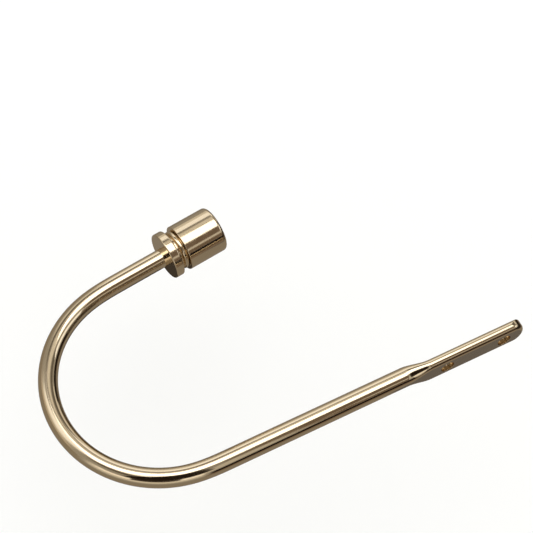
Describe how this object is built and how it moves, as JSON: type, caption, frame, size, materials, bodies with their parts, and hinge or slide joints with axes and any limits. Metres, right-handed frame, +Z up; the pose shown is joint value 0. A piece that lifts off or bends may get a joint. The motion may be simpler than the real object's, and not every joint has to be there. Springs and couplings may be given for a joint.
{
  "type": "curtain holdback",
  "caption": "Curtain holdback: a round rod bent into a U-shaped hook, its wall end forged flat with screw holes, its free end carrying a turned cylindrical finial with a grooved collar.",
  "frame": {"origin": "middle of the two screw holes, on the flat wall-side face of the forged end", "axes": "+X along the forged flat to its rounded tip, +Y out of the wall towards the hook's short arm, +Z up, square to the hook's level plane"},
  "size_m": [0.1891, 0.1122, 0.0204],
  "materials": {
    "plated_rod": "polished light gold plating over steel, softly satin round the bend",
    "plated_finial": "turned, then polished light gold plating"
  },
  "bodies": {
    "root": {"hook_rod": "plated_rod", "finial": "plated_finial"}
  },
  "joints": []
}
